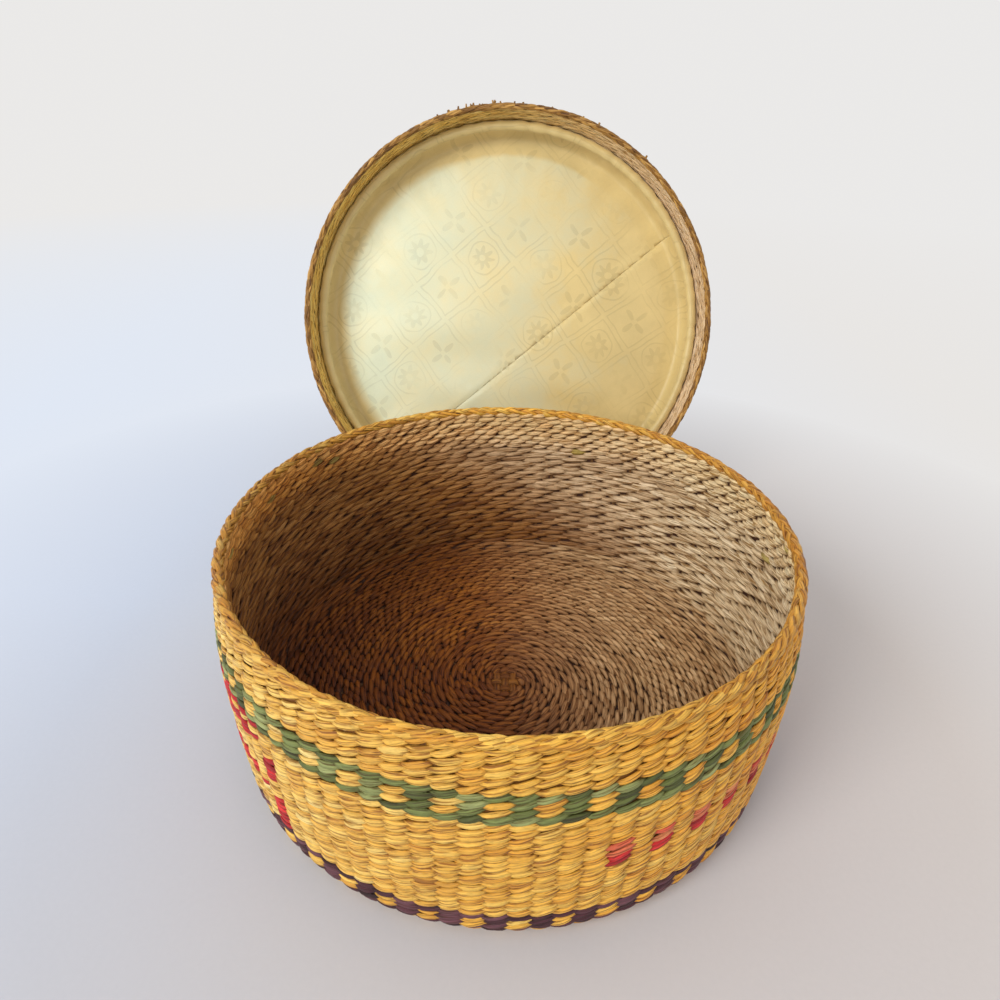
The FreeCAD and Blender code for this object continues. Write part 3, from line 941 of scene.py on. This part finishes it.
def damask_figure(x, y):
    """1 inside the figures: a lattice of lozenges, with a rosette in a ring or a sprig in each by turns."""
    cell = 0.034
    line = 0.0005

    def folded(value):
        wrapped = calc("FRACT", calc("DIVIDE", value, cell))
        return calc("MULTIPLY", calc("SUBTRACT", wrapped, 0.5), cell)

    def band(value, centre):
        return calc("LESS_THAN", calc("ABSOLUTE", calc("SUBTRACT", value, centre)), line)

    def between(value, low, high):
        return calc("MULTIPLY", calc("LESS_THAN", value, high), calc("GREATER_THAN", value, low))

    across_x = folded(x)
    across_y = folded(y)
    edge = calc("MAXIMUM", calc("ABSOLUTE", across_x), calc("ABSOLUTE", across_y))
    squares = calc("ADD", calc("MULTIPLY", across_x, across_x), calc("MULTIPLY", across_y, across_y))
    reach = calc("SQRT", squares)
    turn = calc("ARCTAN2", across_y, across_x)
    cell_x = calc("FLOOR", calc("DIVIDE", x, cell))
    cell_y = calc("FLOOR", calc("DIVIDE", y, cell))
    parity = calc("FLOORED_MODULO", calc("ADD", cell_x, cell_y), 2.0)
    petals = calc("MULTIPLY", calc("COSINE", calc("MULTIPLY", turn, 8.0)), 0.0022)
    rosette = between(reach, 0.0026, calc("ADD", petals, 0.0070))
    leaves = calc("ABSOLUTE", calc("COSINE", calc("MULTIPLY", turn, 2.0)))
    sprig = between(reach, 0.0022, calc("MULTIPLY", calc("POWER", leaves, 3.0), 0.0112))
    first = calc("MULTIPLY", calc("MAXIMUM", rosette, band(reach, 0.0118)), parity)
    second = calc("MULTIPLY", sprig, calc("LESS_THAN", parity, 0.5))
    return calc("MAXIMUM", calc("ADD", first, second), band(edge, cell * 0.44), clamp=True)


def cloth_material():
    """Cream satin damask, woven matt on bright and wavy, with painted light and shade: paler and greener at
    the left, where the lamp lights its sheen, and browner to the right and at its edge, in shade.
    """
    material, tree, shader = node_material("damask_cloth")
    place = attribute(tree, "cloth_place", "Vector")
    flat = parts_of(place)
    bend_x = even_noise(place, 38.0, detail=2.0)
    bend_y = stretched_noise(place, (31.0, 44.0, 31.0), detail=2.0)
    x = calc("ADD", flat[0], graded(bend_x, -0.0018, 0.0018))
    y = calc("ADD", flat[1], graded(bend_y, -0.0018, 0.0018))
    figure = damask_figure(x, y)
    threads = stretched_noise(place, (900.0, 5000.0, 900.0), detail=2.0)
    clouds = even_noise(place, 26.0, detail=4.0)
    sheen = even_noise(place, 19.0, detail=2.0)
    stands = parts_of(object_place(tree))
    # Painted light and shade: lighter at the left, browner to the right and in the edge's shadow, with noise
    # in the boundary.
    painted_falloff = calc("ADD", stands[0], graded(clouds, -0.05, 0.05))
    painted_edge_shade = remap(length_of(place), 0.122, 0.131, 0, 1.0)
    painted_light_and_shade = calc("ADD", remap(painted_falloff, -0.13, 0.08, 0, 1), painted_edge_shade, clamp=True)
    colour = mixed(painted_light_and_shade, (0.935, 0.965, 0.84), (0.88, 0.79, 0.54))
    tone = calc("MULTIPLY", graded(threads, 0.96, 1.03), graded(clouds, 0.88, 1.07))
    shown = calc("MULTIPLY", figure, remap(sheen, 0.42, 0.60, 0.05, 1))
    low_tone = remap(stands[2], 0.09, 0.17, 0.89, 1.0)
    tone = calc("MULTIPLY", tone, calc("MULTIPLY", remap(shown, 0, 1, 1.0, 0.89), low_tone))
    raised = calc("ADD", threads, calc("MULTIPLY", figure, 0.8))
    fill(shader, {"Base Color": scale_colour(colour, tone),
                  "Roughness": remap(figure, 0, 1, 0.42, 0.60),
                  "Sheen Weight": 0.25,
                  "Sheen Roughness": 0.4,
                  "Normal": relief(raised, 0.0002, 0.25)})
    return material


def cloth_half(name, surface, keep_small, skew, node):
    """One side of the seam, cut from the whole lining and given its thickness. skew turns its figures."""
    mesh = bpy.data.meshes.new(name)
    rings, around, _ = surface.shape
    index = np.arange(rings * around).reshape(rings, around)
    middle = np.full(around, index[0, 0])
    fan = np.stack([middle, index[1], np.roll(index[1], -1)], -1)
    mesh.from_pydata(surface.reshape(-1, 3).tolist(), [], grid_faces(index[1:]).tolist() + fan.tolist())
    work = bmesh.new()
    work.from_mesh(mesh)
    loose = [vertex for vertex in work.verts if not vertex.link_faces]
    bmesh.ops.delete(work, geom=loose, context="VERTS")
    way = Vector((math.sin(seam_angle), -math.cos(seam_angle), 0))
    bmesh.ops.bisect_plane(work, geom=work.verts[:] + work.edges[:] + work.faces[:], dist=1e-7,
                           plane_co=way * seam_offset, plane_no=way, clear_inner=keep_small,
                           clear_outer=not keep_small)
    place = work.verts.layers.float_vector.new("cloth_place")
    straightened = Matrix.Rotation(skew - seam_angle, 3, "Z")
    for vertex in work.verts:
        vertex[place] = straightened @ vertex.co
    bmesh.ops.recalc_face_normals(work, faces=work.faces[:])
    work.to_mesh(mesh)
    work.free()
    if mesh.polygons[0].normal.z < 0:
        mesh.flip_normals()
    mesh.polygons.foreach_set("use_smooth", np.full(len(mesh.polygons), True))
    mesh.transform(lid_at_rest)
    piece = add_object(name, mesh)
    mesh.materials.append(damask)
    thicken = piece.modifiers.new("thickness", "SOLIDIFY")
    thicken.thickness = cloth_thick
    thicken.offset = -1
    settle(piece, "lid", "lining_cloth", node)
    return piece


def rolled_hem():
    """The cloth's edge rolled over its filler, gathered unevenly."""
    around, sides = 480, 14
    theta = np.arange(around) * 2 * math.pi / around
    turn = np.arange(sides) * 2 * math.pi / sides
    rng = np.random.default_rng(33)
    gather = np.zeros(around)
    for _ in range(18):
        waves = rng.integers(40, 110)
        gather += rng.normal() * np.sin(waves * theta + rng.random() * 6.28)
    gather /= 3.0
    roll = hem_roll * (0.90 + 0.055 * np.clip(gather, -2, 1.6))
    pressed = 1 + 0.28 * np.maximum(np.cos(turn), 0)
    radius = hem_radius + roll[:, None] * pressed * np.cos(turn)
    height = hem_height + roll[:, None] * np.sin(turn)
    vertices = round_axis(radius, theta[:, None], height)
    index = np.arange(around * sides).reshape(around, sides)
    piece = piece_from("lining_rolled_hem", vertices.reshape(-1, 3), [grid_faces(index, closed=True)], "lid",
                       damask, "lining_cloth", "lining_hem")
    flat_place = np.stack([np.repeat(theta[:, None] * hem_radius, sides, 1),
                           np.repeat((turn * hem_roll)[None, :], around, 0) + 0.031,
                           np.zeros((around, sides))], -1)
    store(piece.data, "cloth_place", "FLOAT_VECTOR", flat_place, "vector")
    return piece


def wadding_material():
    material, tree, shader = node_material("wadding_fibre")
    fluff = graded(even_noise(object_place(tree), 700.0), 0.9, 1.05)
    base = plain_colour(tree, (0.93, 0.92, 0.89))
    fill(shader, {"Base Color": scale_colour(base, fluff), "Roughness": 0.95})
    return material


def wadding():
    """The pad under the cloth, a closed crowned disc."""
    hole = 0.02
    under = lid_wall + 0.0002
    radius = np.r_[np.linspace(hole, pad_edge_radius, 14), pad_edge_radius + 0.003]
    top = pad_edge_height + pad_crown * (1 - (radius / pad_edge_radius) ** 2) - 0.0026
    top[-1] -= 0.0012
    points, index = turned(np.r_[radius, radius[-1], hole], np.r_[top, under, under], 96)
    caps = np.stack([index[0], index[-1, ::-1]])
    return piece_from("lining_pad", points, [grid_faces(index), caps], "lid", wadding_material(), "wadding",
                      "lining_wadding")


def lining():
    """The two panels of cloth, their rolled hem and the pad."""
    surface = lining_surface()
    large = cloth_half("lining_large_panel", surface, False, 0.0, "lining_cloth_large")
    small = cloth_half("lining_small_panel", surface, True, 0.09, "lining_cloth_small")
    hem = rolled_hem()
    pad = wadding()


def stakes():
    """Straw for the solids of the stakes and spokes, which show between the stitches."""
    for node in ("side_stakes", "floor_spokes", "lid_stakes", "lid_spokes"):
        solid = frame["nodes"][node]
        solid.data.materials.clear()
        solid.data.materials.append(stake_straw)


# Camera, floor and light
def camera():
    """The photograph's view, from its height and slant above the basket's mouth."""
    place = (-0.0070, -0.2954, 0.3011)
    pan, pitch, roll = 0.0072, math.radians(30.61), -0.0188
    cp, sp = math.cos(pan), math.sin(pan)
    ct, st = math.cos(pitch), math.sin(pitch)
    cr, sr = math.cos(roll), math.sin(roll)
    right = Vector((cr * cp - sr * sp * st, -cr * sp - sr * cp * st, -sr * ct))
    up = Vector((sr * cp + cr * sp * st, -sr * sp + cr * cp * st, cr * ct))
    ahead = Vector((sp * ct, cp * ct, -st))
    data = bpy.data.cameras.new("camera")
    data.lens = 25.2
    data.sensor_width = 36
    data.clip_start = 0.01
    data.clip_end = 50
    view = add_object("camera", data)
    view.matrix_world = Matrix.Translation(place) @ Matrix((right, up, -ahead)).transposed().to_4x4()
    bpy.context.scene.camera = view


def window_lamp():
    """Soft light from the left, in front and above."""
    target = Vector((0, 0.08, 0.08))
    data = bpy.data.lights.new("window", "AREA")
    data.shape = "DISK"
    data.size = 0.8
    data.energy = 18
    data.color = (1.0, 0.97, 0.93)
    light = add_object("window", data)
    light.location = (-1.00, -1.00, 1.00)
    light.rotation_euler = (target - light.location).to_track_quat("-Z", "Y").to_euler()


def floor_material():
    """Pale paper that fades into the backdrop away from the object, cooler at the left and warmer at the
    right, as painted light on both.
    """
    material, tree, shader = node_material("floor_paper")
    place = object_place(tree)
    across = parts_of(place)
    away = length_of(place)
    # Painted light and shade on the paper: greyer and darker near the front at the left, bluer further back,
    # warmer at the right.
    left = mixed(remap(across[1], -0.20, 0.08, 0, 1), (0.72, 0.73, 0.76), (0.77, 0.81, 0.88))
    base = mixed(remap(across[0], -0.25, 0.25, 0, 1), left, (0.83, 0.80, 0.78))
    fill(shader, {"Base Color": scale_colour(base, graded(even_noise(place, 400.0), 0.99, 1.01)),
                  "Roughness": 0.9})
    # The backdrop's cooler left and warmer right are painted light.
    tint = mixed(remap(across[0], -0.5, 0.5, 0, 1), (0.88, 0.91, 0.96), (0.91, 0.90, 0.89))
    glow = add_node(tree, "Emission", {"Color": mixed(remap(away, 0.6, 2.0, 0, 1), tint, BACKDROP)})
    share = calc("MULTIPLY", remap(away, 0.24, 0.52, 0, 1), looked_at(tree))
    blend_into("Material Output", share, shader, glow)
    return material


def floor():
    half = 6.0
    mesh = bpy.data.meshes.new("floor")
    mesh.from_pydata([(-half, -half, 0), (half, -half, 0), (half, half, 0), (-half, half, 0)], [],
                     [(0, 1, 2, 3)])
    mesh.materials.append(floor_material())
    add_object("floor", mesh)


def world():
    """Even light from all round, behind a pale backdrop that only the camera sees."""
    surroundings = bpy.data.worlds.new("world")
    bpy.context.scene.world = surroundings
    surroundings.use_nodes = True
    tree = surroundings.node_tree
    light = tree.nodes["Background"]
    fill(light, {"Color": (0.96, 0.97, 1.0, 1), "Strength": 0.76})
    shown = add_node(tree, "Background", {"Color": rgba(BACKDROP), "Strength": 1.0})
    blend_into("World Output", looked_at(tree), light, shown)


# The order matters: all the weft is drawn from one row of random numbers
weave_rng = np.random.default_rng(7)
basket_outside(weave_rng)
basket_inside(weave_rng)
basket_floor(weave_rng)
basket_cores()
basket_rim(weave_rng)
lid_weave(weave_rng)
lid_lip(weave_rng)
damask = cloth_material()
lining()
stakes()
camera()
floor()
world()
window_lamp()
bpy.context.scene.view_settings.view_transform = "Standard"
